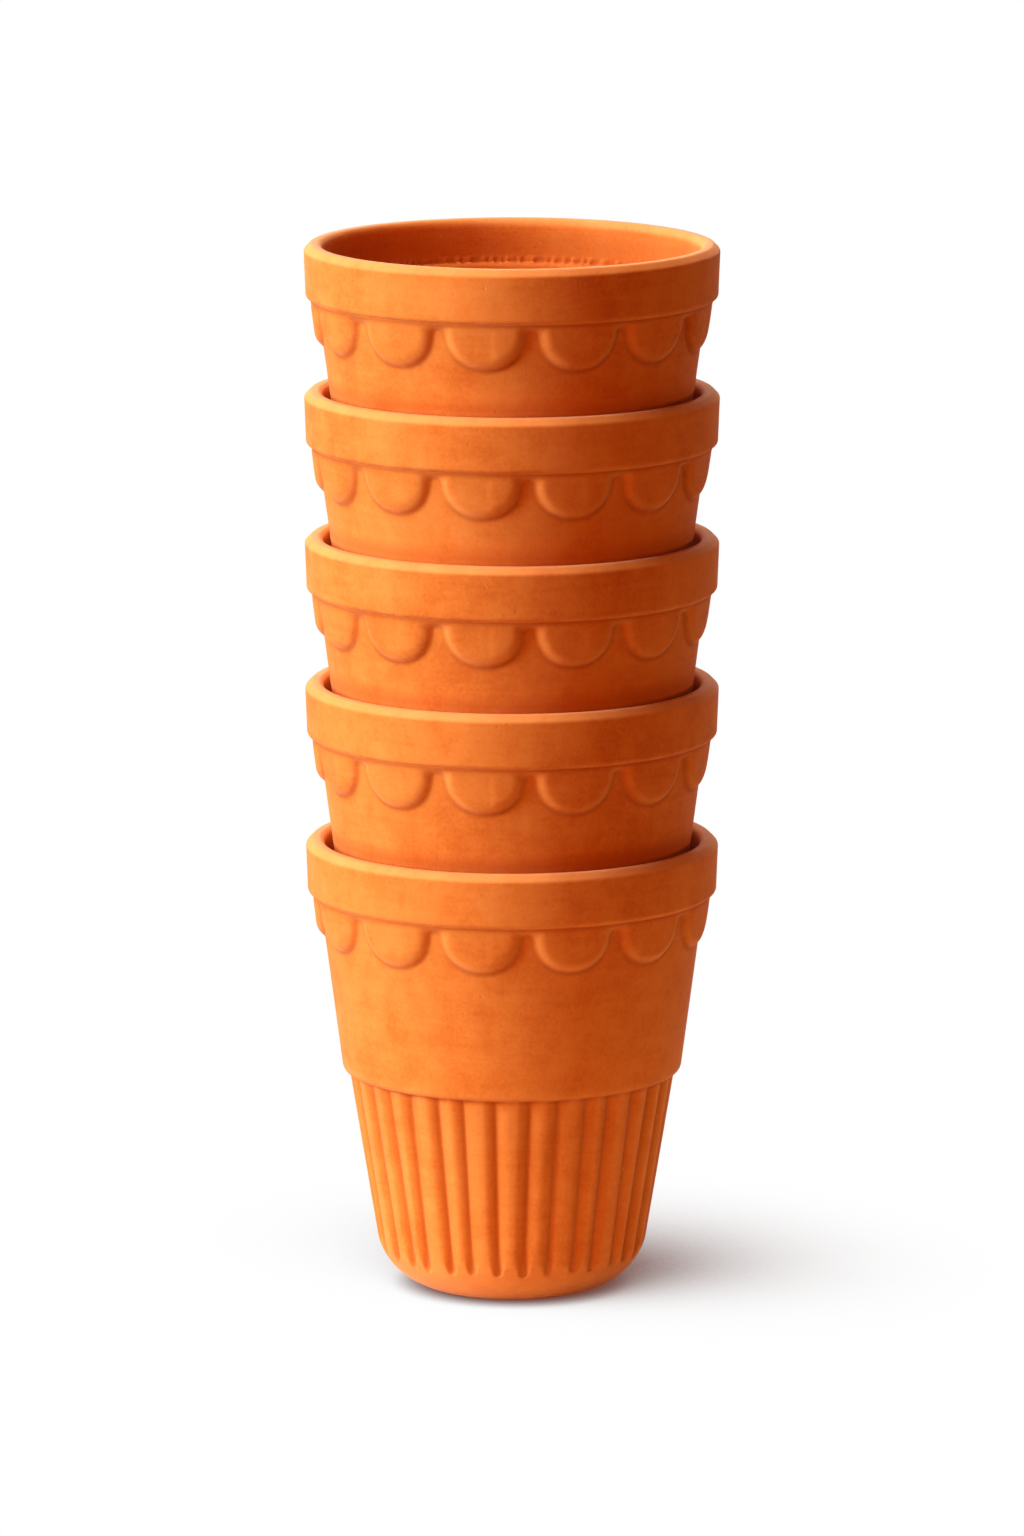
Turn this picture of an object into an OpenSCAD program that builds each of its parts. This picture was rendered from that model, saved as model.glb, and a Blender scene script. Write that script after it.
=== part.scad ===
// Five clay kulhads nested one in the next, standing on the foot of the lowest.
// Each cup is one piece of fired clay: a rim band, a scalloped apron in relief under it,
// a plain tapered body, and below the shoulder a ribbed part that runs out into a rounded foot.
// A cup hangs in the one below: its tapered body wedges against that cup's tapered inner wall.
// Sizes are in millimetres. The origin is the middle of the lowest foot, and +Z is up.

/* [Rim] */
// Outer diameter of the rim at its crest
rim_d = 80; // [78:0.1:90]
// Height of the plain band round the rim
rim_band_h = 10.4; // [8:0.1:12]
// How much the radius of the band shrinks from its crest to its lower edge
rim_draft = 0.4; // [0.1:0.05:0.8]
// How far the lower edge of the band stands out beyond the apron
rim_overhang = 1; // [0.6:0.05:1.6]
// Rounding of the lower edge of the band
rim_edge_round = 0.9; // [0.2:0.05:0.9]
// Width of the lip, from the outside of the rim to the mouth
lip_w = 3.6; // [3:0.1:4.4]
// Rounding of the outer edge of the lip
lip_outer_round = 1.7; // [0.8:0.1:2]
// Rounding of the inner edge of the lip
lip_inner_round = 1.2; // [0.4:0.1:1.4]

/* [Body] */
// Height of one cup, from foot to crest
cup_h = 88.4; // [84:0.1:100]
// Lean of the tapered body wall, in degrees from upright
body_lean = 7.547; // [6.5:0.001:8.5]
// Rounding of the shoulder
shoulder_round = 1.8; // [0.8:0.1:2.2]

/* [Apron] */
// Number of scallops round the cup
scallop_count = 13; // [9:1:14]
// Width of the arch between two scallops, at its root on the body
arch_w = 1.6; // [0.8:0.1:4]
// How far the apron stands out from the body
apron_t = 1.2; // [0.6:0.05:1.6]
// Height of the plain strip that the scallops hang from
strip_h = 1.5; // [0.8:0.1:3]

/* [Ribbed part] */
// Number of ribs round the cup
rib_count = 33; // [20:1:36]
// Depth of the grooves between the ribs
rib_depth = 0.9; // [0.5:0.05:1.1]
// Width of the floor of a groove
groove_w = 0.8; // [0.5:0.05:1.2]
// How far the shoulder stands out beyond the lathe line over the ribs
shoulder_step = 1.05; // [0.9:0.05:1.6]
// Lean of the ribbed wall, in degrees from upright
rib_lean = 9.398; // [8:0.001:11]
// Rounding of the foot
foot_round = 12.8; // [8:0.1:15]

/* [Inside] */
// Thickness of the body wall of the upper cups, measured level
wall_t = 3.6; // [3.2:0.05:4.2]
// How much thicker the body wall of the bottom cup is
bottom_extra_t = 0.33; // [0:0.01:0.5]
// Thickness of the floor
floor_t = 5; // [3:0.1:8]
// Rounding between wall and floor
inner_foot_round = 9; // [4:0.1:12]
// Depth of the wide mouth, from the crest to the ledge
mouth_h = 8.6; // [6:0.1:10]
// Rounding of the edge of the ledge
ledge_round = 0.7; // [0.2:0.05:1]
// Height over which the inner wall steps in behind the shoulder
inner_step_h = 4; // [3:0.1:6]

/* [Nesting] */
// Gap left between a cup and the wall that it wedges against, measured level
seat_gap = 0.15; // [0.1:0.01:0.3]
// Height over which the body of a nested cup meets the wall of the cup below
seat_h = 8.6; // [7:0.1:11]
// Gap between the ribs of a nested cup and the wall behind the ribs below, measured level
rib_gap = 1.1; // [0.6:0.05:1.6]

/* [Hidden] */

// Turn of each cup as it was stacked, from the lowest up, in degrees
cup_turns = [4.5, 5.3, 5.4, 4.9, 6];
// Steps in the curve of a rounded corner, and in that of the large foot corner
round_steps = 5;
foot_steps = 8;
$fn = 96;

// How deep one clay form is sunk into another so that they join
bite = 0.2;
// How far the lathe line stands clear of the rib crests
crest_inset = 0.1;
// Slope of the pressed edge of the apron, as run for each unit of relief
edge_slope_share = 0.5;
clay = [0.84, 0.43, 0.18];

rim_r = rim_d / 2;
rim_z = cup_h - rim_band_h;
rim_low_r = rim_r - rim_draft;
ledge_z = cup_h - mouth_h;
strip_z = rim_z - strip_h;
scallop_pitch = 360 / scallop_count;
rib_pitch = 360 / rib_count;

// Radius of the apron face and of the plain body where they meet the rim band
apron_top_r = rim_low_r - rim_overhang;
body_top_r = apron_top_r - apron_t;
body_slope = tan(body_lean);
rib_slope = tan(rib_lean);

// How far each cup stands above the one below: where its body meets that cup's inner wall
nest_step = (wall_t + seat_gap) / body_slope;
first_nest_step = (wall_t + bottom_extra_t + seat_gap) / body_slope;

// Shoulder height at which a nested cup has its full seat under the ledge of the cup below
shoulder_z = ledge_z - nest_step - seat_h;
shoulder_r = body_r(shoulder_z);
foot_r = shoulder_r - shoulder_step - shoulder_z * rib_slope;
// Thickness of the wall behind the ribs, measured level from the lathe line
rib_wall_t = nest_step * rib_slope + crest_inset - rib_gap;

// Radius of a scallop where its edge meets the body, and how far out along its axis that is
scallop_r = body_r(strip_z) * sin(scallop_pitch / 2) - arch_w / 2;
scallop_x = body_r(strip_z) * cos(scallop_pitch / 2);

function body_r(z) = body_top_r - (rim_z - z) * body_slope;
function lathe_r(z) = foot_r + z * rib_slope;
function valley_r(z) = lathe_r(z) - crest_inset - rib_depth;
// Height of the foot of cup n, counted from 0 at the bottom
function cup_z(n) = n == 0 ? 0 : first_nest_step + (n - 1) * nest_step;

function unit(v) = v / norm(v);
function turned(v, a) = [v.x * cos(a) - v.y * sin(a), v.x * sin(a) + v.y * cos(a)];

// The corner b of the path a, b, c as an arc of radius r that meets both sides smoothly
function corner(a, b, c, r) =
    r == 0 ? [b] :
    let (
        u = unit(a - b),
        v = unit(c - b),
        half = acos(u * v) / 2,
        centre = b + unit(u + v) * r / sin(half),
        start = b + u * r / tan(half) - centre,
        sweep = -sign(cross(u, v)) * (180 - 2 * half),
        steps = r > shoulder_round * 2 ? foot_steps : round_steps
    )
    [for (i = [0:steps]) centre + turned(start, sweep * i / steps)];

// An outline of [radius, height, rounding] corners with its roundings drawn in
function rounded(path) =
    let (n = len(path))
    [for (i = [0:n - 1])
        let (
            a = path[(i + n - 1) % n],
            b = path[i],
            c = path[(i + 1) % n]
        )
        each corner([a[0], a[1]], [b[0], b[1]], [c[0], c[1]], b[2])];

// Half section of a cup without its ribs and apron, up the outside and down the inside
module wall_section(wall) {
    step_top = shoulder_z + inner_step_h / 2;
    step_low = shoulder_z - inner_step_h / 2;
    polygon(rounded([
        [0, 0, 0],
        [valley_r(0), 0, 0],
        [valley_r(shoulder_z), shoulder_z, 0],
        [shoulder_r, shoulder_z, shoulder_round],
        [body_top_r, rim_z, 0],
        [rim_low_r, rim_z, rim_edge_round],
        [rim_r, cup_h, lip_outer_round],
        [rim_r - lip_w, cup_h, lip_inner_round],
        [rim_low_r - lip_w, ledge_z, ledge_round],
        [body_r(ledge_z) - wall, ledge_z, ledge_round],
        [body_r(step_top) - wall, step_top, shoulder_round],
        [lathe_r(step_low) - rib_wall_t, step_low, shoulder_round],
        [lathe_r(floor_t) - rib_wall_t, floor_t, inner_foot_round],
        [0, floor_t, 0],
    ]));
}

// Half section of the space that the rounded foot leaves to the clay, open above the ribs
module foot_limit() {
    top = shoulder_z - bite;
    polygon(rounded([
        [0, 0, 0],
        [foot_r, 0, foot_round],
        [lathe_r(top), top, 0],
        [rim_r + bite, top, 0],
        [rim_r + bite, cup_h + bite, 0],
        [0, cup_h + bite, 0],
    ]));
}

// Turned body of a cup, without ribs and apron
module turned_cup(wall) {
    rotate_extrude()
        intersection() {
            wall_section(wall);
            foot_limit();
        }
}

// Point of the rounded foot that lies a given depth under the lathe line
function foot_point(depth) =
    let (
        reach = foot_round / tan((90 + rib_lean) / 2),
        along = reach - sqrt(depth * (2 * foot_round - depth))
    )
    [
        foot_r + along * sin(rib_lean) - depth * cos(rib_lean),
        along * cos(rib_lean) + depth * sin(rib_lean)
    ];

// Slab that one rib is cut from: down to just under the groove floors, sloped off at the foot
module rib_slab() {
    top = shoulder_z + bite * 2;
    low_inner = foot_point(crest_inset + rib_depth + bite);
    low_outer = foot_point(crest_inset);
    w = lathe_r(top) * PI * 2 / rib_count;
    rotate([90, 0, 0])
        linear_extrude(w, center = true)
        polygon([
            low_inner,
            low_outer + (low_outer - low_inner) / 2,
            [lathe_r(top) + bite, top],
            [valley_r(top) - bite, top],
        ]);
}

// Radius of the round rod whose face, cut off at the groove floor, is as wide as one rib
function rod_r(z) =
    let (half_w = (lathe_r(z) * PI * 2 / rib_count - groove_w) / 2)
    (half_w * half_w + rib_depth * rib_depth) / 2 / rib_depth;

// One rib: the outer face of a tapered rod that leans with the wall
module rib() {
    low_x = lathe_r(0) - crest_inset - rod_r(0);
    top_x = lathe_r(shoulder_z) - crest_inset - rod_r(shoulder_z);
    lean = atan((top_x - low_x) / shoulder_z);
    length = shoulder_z / cos(lean);
    growth = (rod_r(shoulder_z) - rod_r(0)) / length;
    overrun = bite * 5;
    intersection() {
        rib_slab();
        translate([low_x, 0, 0])
            rotate([0, lean, 0])
            translate([0, 0, -overrun])
            cylinder(
                h = length + overrun * 2,
                r1 = rod_r(0) - growth * overrun,
                r2 = rod_r(shoulder_z) + growth * overrun
            );
    }
}

module ribs() {
    for (i = [0:rib_count - 1])
        rotate((i + 0.5) * rib_pitch - 90)
            rib();
}

// One scallop as a radial cone, so that its pressed edge slopes
module scallop_cone() {
    inner_x = scallop_x - bite * 3;
    spread = (scallop_x - inner_x) * edge_slope_share;
    draw_in = (rim_r - scallop_x) * edge_slope_share;
    translate([inner_x, 0, strip_z])
        rotate([0, 90, 0])
        cylinder(h = rim_r - inner_x, r1 = scallop_r + spread, r2 = scallop_r - draw_in);
}

// Plain strip under the rim band, with the same sloping lower edge
module strip() {
    inner_x = body_top_r - apron_t;
    top = rim_z + bite * 2;
    drop = (body_top_r - inner_x) * edge_slope_share;
    lift = (rim_r - body_top_r) * edge_slope_share;
    rotate_extrude()
        polygon([
            [inner_x, strip_z - drop],
            [rim_r, strip_z + lift],
            [rim_r, top],
            [inner_x, top],
        ]);
}

// Band of clay that the apron is pressed from
module apron_band() {
    low = strip_z - scallop_r - apron_t;
    top = rim_z + bite;
    rotate_extrude()
        polygon([
            [body_r(low) - bite, low],
            [body_r(low) + apron_t, low],
            [body_r(top) + apron_t, top],
            [body_r(top) - bite, top],
        ]);
}

module apron() {
    intersection() {
        apron_band();
        union() {
            strip();
            for (i = [0:scallop_count - 1])
                rotate((i + 0.5) * scallop_pitch - 90)
                    scallop_cone();
        }
    }
}

// Cup n of the stack, counted from 0 at the bottom, with its own wall thickness
module cup(n, wall) {
    color(clay)
        translate([0, 0, cup_z(n)])
        rotate(cup_turns[n])
        union() {
            turned_cup(wall);
            apron();
            ribs();
        }
}

module bottom_cup() { cup(0, wall_t + bottom_extra_t); }
module second_cup() { cup(1, wall_t); }
module third_cup() { cup(2, wall_t); }
module fourth_cup() { cup(3, wall_t); }
module top_cup() { cup(4, wall_t); }

bottom_cup();
second_cup();
third_cup();
fourth_cup();
top_cup();
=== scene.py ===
"""Five clay kulhads nested in a stack: fired terracotta, lit as in a small studio.

Each cup is one closed surface. Its outline runs from the middle of the foot up the outside, over
the lip and down the inside to the middle of the floor, and is carried once round the axis while
the ribs, the scalloped apron and the small unevenness of handwork push it in and out.
The classes hold their sizes in millimetres, and the meshes are in metres.
"""

import logging
import math
from dataclasses import dataclass
from enum import Enum

import bpy
import numpy as np
from mathutils import Matrix


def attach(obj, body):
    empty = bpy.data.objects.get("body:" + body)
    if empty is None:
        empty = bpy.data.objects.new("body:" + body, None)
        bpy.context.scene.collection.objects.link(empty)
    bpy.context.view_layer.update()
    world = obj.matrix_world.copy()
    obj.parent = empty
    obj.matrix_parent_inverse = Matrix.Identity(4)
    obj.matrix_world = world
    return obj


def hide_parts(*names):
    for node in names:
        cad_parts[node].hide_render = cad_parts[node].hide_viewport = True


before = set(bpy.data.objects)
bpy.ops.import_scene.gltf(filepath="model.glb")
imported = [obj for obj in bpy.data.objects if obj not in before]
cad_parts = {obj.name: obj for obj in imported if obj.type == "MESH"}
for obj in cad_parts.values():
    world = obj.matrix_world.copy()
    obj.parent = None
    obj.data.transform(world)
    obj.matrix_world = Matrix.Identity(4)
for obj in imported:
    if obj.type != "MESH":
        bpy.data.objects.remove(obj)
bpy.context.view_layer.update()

LOG = logging.getLogger("kulhads")
MM = 0.001

Vector3 = tuple[float, float, float]
Edges = tuple[float, float, float, float]
Colour = tuple[float, float, float, float]
Grid = np.ndarray
WHITE: Colour = (1.0, 1.0, 1.0, 1.0)
BLACK: Colour = (0.0, 0.0, 0.0, 1.0)


# Shader nodes


class Flow:
    """An output socket on which Python's operators add Math nodes."""

    def __init__(self, nodes: "ShaderNodes", socket: bpy.types.NodeSocket) -> None:
        """Keeps the socket and the tree that it belongs to."""
        self.nodes = nodes
        self.socket = socket

    def _maths(self, operation: str, *values: "Flow | float") -> "Flow":
        """Adds one Math node that works on the given values."""
        return self.nodes.add("ShaderNodeMath", {"operation": operation}, dict(enumerate(values)))

    def __add__(self, other: "Flow | float") -> "Flow":
        """Sum."""
        return self._maths("ADD", self, other)

    def __radd__(self, other: float) -> "Flow":
        """Sum with a number on the left."""
        return self._maths("ADD", other, self)

    def __sub__(self, other: "Flow | float") -> "Flow":
        """Difference."""
        return self._maths("SUBTRACT", self, other)

    def __rsub__(self, other: float) -> "Flow":
        """Difference from a number on the left."""
        return self._maths("SUBTRACT", other, self)

    def __mul__(self, other: "Flow | float") -> "Flow":
        """Product."""
        return self._maths("MULTIPLY", self, other)

    def __rmul__(self, other: float) -> "Flow":
        """Product with a number on the left."""
        return self._maths("MULTIPLY", other, self)

    def larger(self, other: "Flow | float") -> "Flow":
        """The larger of two values."""
        return self._maths("MAXIMUM", self, other)

    def eased(self, low: float, high: float) -> "Flow":
        """0 at low, 1 at high and a smooth step between; low may be the larger."""
        settings = {"interpolation_type": "SMOOTHSTEP"}
        inputs = {"Value": self, "From Min": low, "From Max": high, "To Min": 0.0, "To Max": 1.0}
        return self.nodes.add("ShaderNodeMapRange", settings, inputs)


@dataclass(frozen=True)
class Noise:
    """A cloudy noise: its scale, detail and roughness, and its share in the tone of the clay."""

    scale: float
    detail: float
    rough: float
    share: float


class ShaderNodes:
    """The node tree of a material or a world, filled through one method."""

    # Sockets of a Mix node that mixes colours, whose names aren't unique
    MIX_SHARE, MIX_FIRST, MIX_SECOND, MIX_RESULT = 0, 6, 7, 2

    def __init__(self, owner: bpy.types.Material | bpy.types.World) -> None:
        """Empties the owner's tree and keeps it."""
        owner.use_nodes = True
        self.tree = owner.node_tree
        self.tree.nodes.clear()

    def add(
        self,
        kind: str,
        settings: dict[str, object] | None = None,
        inputs: dict[str | int, object] | None = None,
        output: int | str = 0,
    ) -> Flow:
        """Adds a node.

        Args:
            kind: the node's type name.
            settings: its properties, set before its sockets.
            inputs: a value or a Flow for each named or numbered socket.
            output: name or number of the output to hand back.

        Returns:
            The chosen output.
        """
        node = self.tree.nodes.new(kind)
        for name, value in (settings or {}).items():
            setattr(node, name, value)
        for name, value in (inputs or {}).items():
            if isinstance(value, Flow):
                self.tree.links.new(value.socket, node.inputs[name])
            else:
                node.inputs[name].default_value = value
        return Flow(self, node.outputs[output] if node.outputs else None)

    def mix(self, share: Flow, first: Flow | Colour, second: Flow | Colour) -> Flow:
        """Mixes two colours: the first at share 0, the second at share 1."""
        inputs = {self.MIX_SHARE: share, self.MIX_FIRST: first, self.MIX_SECOND: second}
        return self.add("ShaderNodeMix", {"data_type": "RGBA"}, inputs, self.MIX_RESULT)

    def noise(self, place: Flow, kind: Noise) -> Flow:
        """Cloudy noise from 0 to 1 with its middle at 0.5."""
        inputs = {"Vector": place, "Scale": kind.scale, "Detail": kind.detail, "Roughness": kind.rough}
        return self.add("ShaderNodeTexNoise", None, inputs)

    def constant(self, vector: Vector3) -> Flow:
        """A vector that doesn't vary."""
        return self.add("ShaderNodeCombineXYZ", None, dict(enumerate(vector)))

    def stretched(self, place: Flow, factors: Vector3, shift: Vector3) -> Flow:
        """Scales a place by a factor along each axis and shifts it."""
        inputs = {0: place, 1: factors, 2: shift}
        return self.add("ShaderNodeVectorMath", {"operation": "MULTIPLY_ADD"}, inputs)

    def shade(self, sockets: dict[str | int, object]) -> None:
        """Ends a material in one Principled shader with the given values and links."""
        shader = self.add("ShaderNodeBsdfPrincipled", None, sockets)
        self.add("ShaderNodeOutputMaterial", None, {"Surface": shader})


# Finishes


@dataclass(frozen=True)
class FiredClay:
    """Unglazed terracotta: clouded by the fire, wiped by a wet hand, pored, and worn on its edges.

    Wipes run round the cup and strokes up it, because their place is squeezed or drawn out in
    height. A pair such as pale_tone holds the tones at which a mix starts and is full, and one
    such as that of the painted shade a start and what the blotches add to it. Edges are paled
    partly as wear and partly as painted highlight, and hollows are darkened as painted shade.
    Heights and depths are in metres.
    """

    body: Colour = (0.84, 0.28, 0.036, 1.0)
    pale: Colour = (0.90, 0.35, 0.060, 1.0)
    # Colour of wear and painted highlight on edges, crests and the lip
    rubbed_and_highlit: Colour = (1.0, 0.52, 0.14, 1.0)
    deep: Colour = (0.72, 0.19, 0.018, 1.0)
    # Colour of painted shade in hollows and gaps, and also of the dark pores
    shade_and_pores: Colour = (0.40, 0.072, 0.006, 1.0)
    roughness: float = 0.66
    specular: float = 0.06
    dust: float = 0.12
    dust_roughness: float = 0.5
    clouds: Noise = Noise(34.0, 3.0, 0.5, 0.30)
    blotches: Noise = Noise(190.0, 4.0, 0.62, 0.26)
    grain: Noise = Noise(1500.0, 3.0, 0.65, 0.20)
    wipes: Noise = Noise(80.0, 4.0, 0.62, 0.11)
    strokes: Noise = Noise(170.0, 3.0, 0.55, 0.13)
    wipe_squeeze: float = 10.0
    stroke_squeeze: float = 0.16
    pale_tone: tuple[float, float] = (0.46, 0.64)
    deep_tone: tuple[float, float] = (0.52, 0.36)
    # Painted shade: how far it goes towards its colour, then its start and what the blotches add
    shade_strength: float = 0.62
    shade_share: tuple[float, float] = (0.55, 0.9)
    # Start of wear with painted highlight, and what the blotches add to it
    wear_and_highlight_mix: tuple[float, float] = (0.5, 0.8)
    pore_scale: float = 520.0
    pore_size: float = 0.16
    pore_soot: float = 0.12
    pore_depth: float = 0.00006
    grit_scale: float = 310.0
    grit_size: float = 0.11
    grit_pale: float = 0.38
    blotch_height: float = 0.00012
    wipe_height: float = 0.00004
    grain_height: float = 0.000028
    worn_gloss: float = 0.26
    blotch_gloss: float = 0.16
    grain_gloss: float = 0.10

    def build(self, name: str, shift: Vector3) -> bpy.types.Material:
        """Makes the material.

        Args:
            name: the material's name.
            shift: where in the noise this cup's pattern lies.

        Returns:
            The material, which reads Object coordinates and two attributes: the share of wear
            with painted highlight, and hollow, the share of painted shade.
        """
        material = bpy.data.materials.new(name)
        nodes = ShaderNodes(material)
        place = nodes.add("ShaderNodeTexCoord", output="Object")
        spot = nodes.stretched(place, (1.0, 1.0, 1.0), shift)
        around = nodes.stretched(place, (1.0, 1.0, self.wipe_squeeze), shift)
        upright = nodes.stretched(place, (1.0, 1.0, self.stroke_squeeze), shift)
        clouds = nodes.noise(spot, self.clouds)
        blotches = nodes.noise(spot, self.blotches)
        grain = nodes.noise(spot, self.grain)
        wipes = nodes.noise(around, self.wipes)
        strokes = nodes.noise(upright, self.strokes)
        wear_and_highlight = nodes.add("ShaderNodeAttribute", {"attribute_name": "wear_and_highlight"}, output="Fac")
        hollow = nodes.add("ShaderNodeAttribute", {"attribute_name": "hollow"}, output="Fac")
        pores = self._spots(nodes, spot, self.pore_scale, self.pore_size)
        grit = self._spots(nodes, spot, self.grit_scale, self.grit_size)

        tone = self.clouds.share * clouds + self.blotches.share * blotches + self.wipes.share * wipes
        tone = tone + self.strokes.share * strokes + self.grain.share * grain
        lit = nodes.mix(tone.eased(*self.pale_tone), self.body, self.pale)
        clay = nodes.mix(tone.eased(*self.deep_tone), lit, self.deep)
        # Painted shade: the hollow share darkens the clay, patchy with the blotches
        shade_share = self.shade_strength * hollow * (self.shade_share[0] + self.shade_share[1] * blotches)
        clay = nodes.mix(shade_share, clay, self.shade_and_pores)
        # Wear with painted highlight: the worn share pales the clay
        clay = nodes.mix(wear_and_highlight * (self.wear_and_highlight_mix[0] + self.wear_and_highlight_mix[1] * blotches), clay, self.rubbed_and_highlit)
        clay = nodes.mix(self.pore_soot * pores, clay, self.shade_and_pores)
        clay = nodes.mix(self.grit_pale * grit, clay, self.pale)

        height = self.blotch_height * blotches + self.wipe_height * wipes + self.grain_height * grain
        height = height - self.pore_depth * pores
        bump = nodes.add("ShaderNodeBump", None, {"Strength": 1.0, "Distance": 1.0, "Height": height})
        dryness = self.roughness - self.worn_gloss * wear_and_highlight
        dryness = dryness + self.blotch_gloss * (blotches - 0.5) + self.grain_gloss * (grain - 0.5)
        nodes.shade(
            {
                "Base Color": clay,
                "Roughness": dryness,
                "Specular IOR Level": self.specular,
                "Sheen Weight": self.dust,
                "Sheen Roughness": self.dust_roughness,
                "Normal": bump,
            }
        )
        return material

    @staticmethod
    def _spots(nodes: ShaderNodes, spot: Flow, scale: float, size: float) -> Flow:
        """Marks the middles of a random quarter of the cells of a Voronoi pattern."""
        inputs = {"Vector": spot, "Scale": scale}
        near = nodes.add("ShaderNodeTexVoronoi", None, inputs)
        tint = nodes.add("ShaderNodeTexVoronoi", None, inputs, "Color")
        chance = nodes.add("ShaderNodeSeparateColor", None, {"Color": tint})
        return near.eased(size, size * 0.35) * chance.eased(0.72, 0.80)


@dataclass(frozen=True)
class PaleFloor:
    """White paper under a soft sky that leans to the left of the camera.

    The camera sees the share of that sky which the cups leave open, so their shadow lies by the
    foot and runs to the right, and fades to plain white further out. Other rays meet paper that
    is pale by the foot and dull further out, so the foot gets more light from below than the top.
    """

    shade: Colour = (0.14, 0.02, 0.0, 1.0)
    near: Colour = (0.80, 0.66, 0.42, 1.0)
    dull: Colour = (0.10, 0.05, 0.025, 1.0)
    lean: Vector3 = (-0.585, -0.791, 0.178)
    samples: int = 16
    full: float = 0.92
    depth: float = 0.9
    reach: float = 0.3
    fade_from: float = 0.02
    fade_to: float = 0.12
    contact: float = 0.006
    contact_open: tuple[float, float] = (-0.3, 0.6)
    near_to: float = 0.06
    dull_from: float = 0.26

    def build(self) -> bpy.types.Material:
        """Makes the material."""
        material = bpy.data.materials.new("white_paper")
        nodes = ShaderNodes(material)
        place = nodes.add("ShaderNodeTexCoord", output="Object")
        away = nodes.add("ShaderNodeVectorMath", {"operation": "LENGTH"}, {0: place}, "Value")
        rays = {"samples": self.samples}
        leaning = {"Distance": self.reach, "Normal": nodes.constant(self.lean)}
        sky = nodes.add("ShaderNodeAmbientOcclusion", rays, leaning, "AO")
        under_floor = (1.0 - self.lean[2]) / 2
        fade = away.eased(self.fade_to, self.fade_from)
        # Painted shadow: the paper's glow dims where the cups hide the leaning sky
        hidden = (1.0 - sky) * (1.0 / (1.0 - under_floor)) * fade
        lit = 1.0 - self.depth * hidden.eased(0.0, self.full)
        # Painted contact shadow from a short occlusion test by the foot
        touch = nodes.add("ShaderNodeAmbientOcclusion", rays, {"Distance": self.contact}, "AO")
        lit = lit * touch.eased(*self.contact_open)
        glow = nodes.mix(lit, self.shade, WHITE)
        seen = seen_directly(nodes)
        paper = nodes.mix(away.eased(self.near_to, self.dull_from), self.near, self.dull)
        nodes.shade(
            {
                "Base Color": nodes.mix(seen, paper, BLACK),
                "Roughness": 0.9,
                "Specular IOR Level": 0.0,
                "Emission Color": nodes.mix(seen, BLACK, glow),
                "Emission Strength": 1.0,
            }
        )
        return material


def seen_directly(nodes: ShaderNodes) -> Flow:
    """1 for the rays that see a background: from the camera, in gloss, and through glass."""
    kinds = ("Camera", "Glossy", "Transmission")
    camera, glossy, through = (nodes.add("ShaderNodeLightPath", output=f"Is {kind} Ray") for kind in kinds)
    return camera.larger(glossy).larger(through)


# Outlines


class Columns(Enum):
    """How many grid lines run up the cup: fine where there is relief, plain on smooth clay."""

    FINE = 600
    PLAIN = 150


class Face(Enum):
    """What kind of surface a stretch of the outline makes."""

    PLAIN = "outside without relief"
    RELIEF = "outside with apron and ribs"
    INSIDE = "inside"


@dataclass(frozen=True)
class Corner:
    """A corner of an outline: radius, height and rounding."""

    r: float
    z: float
    rounding: float = 0.0


@dataclass(frozen=True)
class Stretch:
    """Part of an outline between two ends, with the spacing of its rows given by height.

    The spacing holds pairs of a height and the distance between rows there.
    """

    corners: tuple[Corner, ...]
    spacing: tuple[tuple[float, float], ...]
    columns: Columns
    face: Face
    line_step: float = 0.02

    def rows(self) -> Grid:
        """Works out the rows.

        The outline is drawn with its roundings as a fine line. A row falls wherever the sum of
        length over spacing passes a whole number.

        Returns:
            An array of radius and height, one row each.
        """
        points = [np.array([[self.corners[0].r, self.corners[0].z]])]
        for before, here, after in zip(self.corners, self.corners[1:], self.corners[2:]):
            points.append(rounded_corner(before, here, after))
        points.append(np.array([[self.corners[-1].r, self.corners[-1].z]]))
        line = densely(np.concatenate(points), self.line_step)
        lengths = np.linalg.norm(np.diff(line, axis=0), axis=1)
        heights, steps = np.array(self.spacing).T
        middle = (line[1:, 1] + line[:-1, 1]) / 2
        count = np.concatenate([[0.0], np.cumsum(lengths / np.interp(middle, heights, steps))])
        wanted = np.linspace(0.0, count[-1], int(math.ceil(count[-1])) + 1)
        return np.stack([np.interp(wanted, count, line[:, i]) for i in (0, 1)], axis=1)


def rounded_corner(before: Corner, here: Corner, after: Corner, points: int = 25) -> Grid:
    """Points of the arc that meets both sides of a corner smoothly, or the bare corner."""
    corner = np.array([here.r, here.z])
    if here.rounding == 0.0:
        return corner[None]
    back = np.array([before.r, before.z]) - corner
    on = np.array([after.r, after.z]) - corner
    back, on = back / np.linalg.norm(back), on / np.linalg.norm(on)
    half = math.acos(float(back @ on)) / 2
    centre = corner + (back + on) / np.linalg.norm(back + on) * here.rounding / math.sin(half)
    start = corner + back * here.rounding / math.tan(half) - centre
    side = -np.sign(back[0] * on[1] - back[1] * on[0])
    sweep = side * (math.pi - 2 * half) * np.linspace(0.0, 1.0, points)
    r = start[0] * np.cos(sweep) - start[1] * np.sin(sweep)
    z = start[0] * np.sin(sweep) + start[1] * np.cos(sweep)
    return centre + np.stack([r, z], axis=1)


def densely(line: Grid, step: float) -> Grid:
    """The same line with points at most one step apart."""
    length = np.concatenate([[0.0], np.cumsum(np.linalg.norm(np.diff(line, axis=0), axis=1))])
    places = np.union1d(length, np.arange(0.0, length[-1], step))
    return np.stack([np.interp(places, length, line[:, i]) for i in (0, 1)], axis=1)


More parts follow.
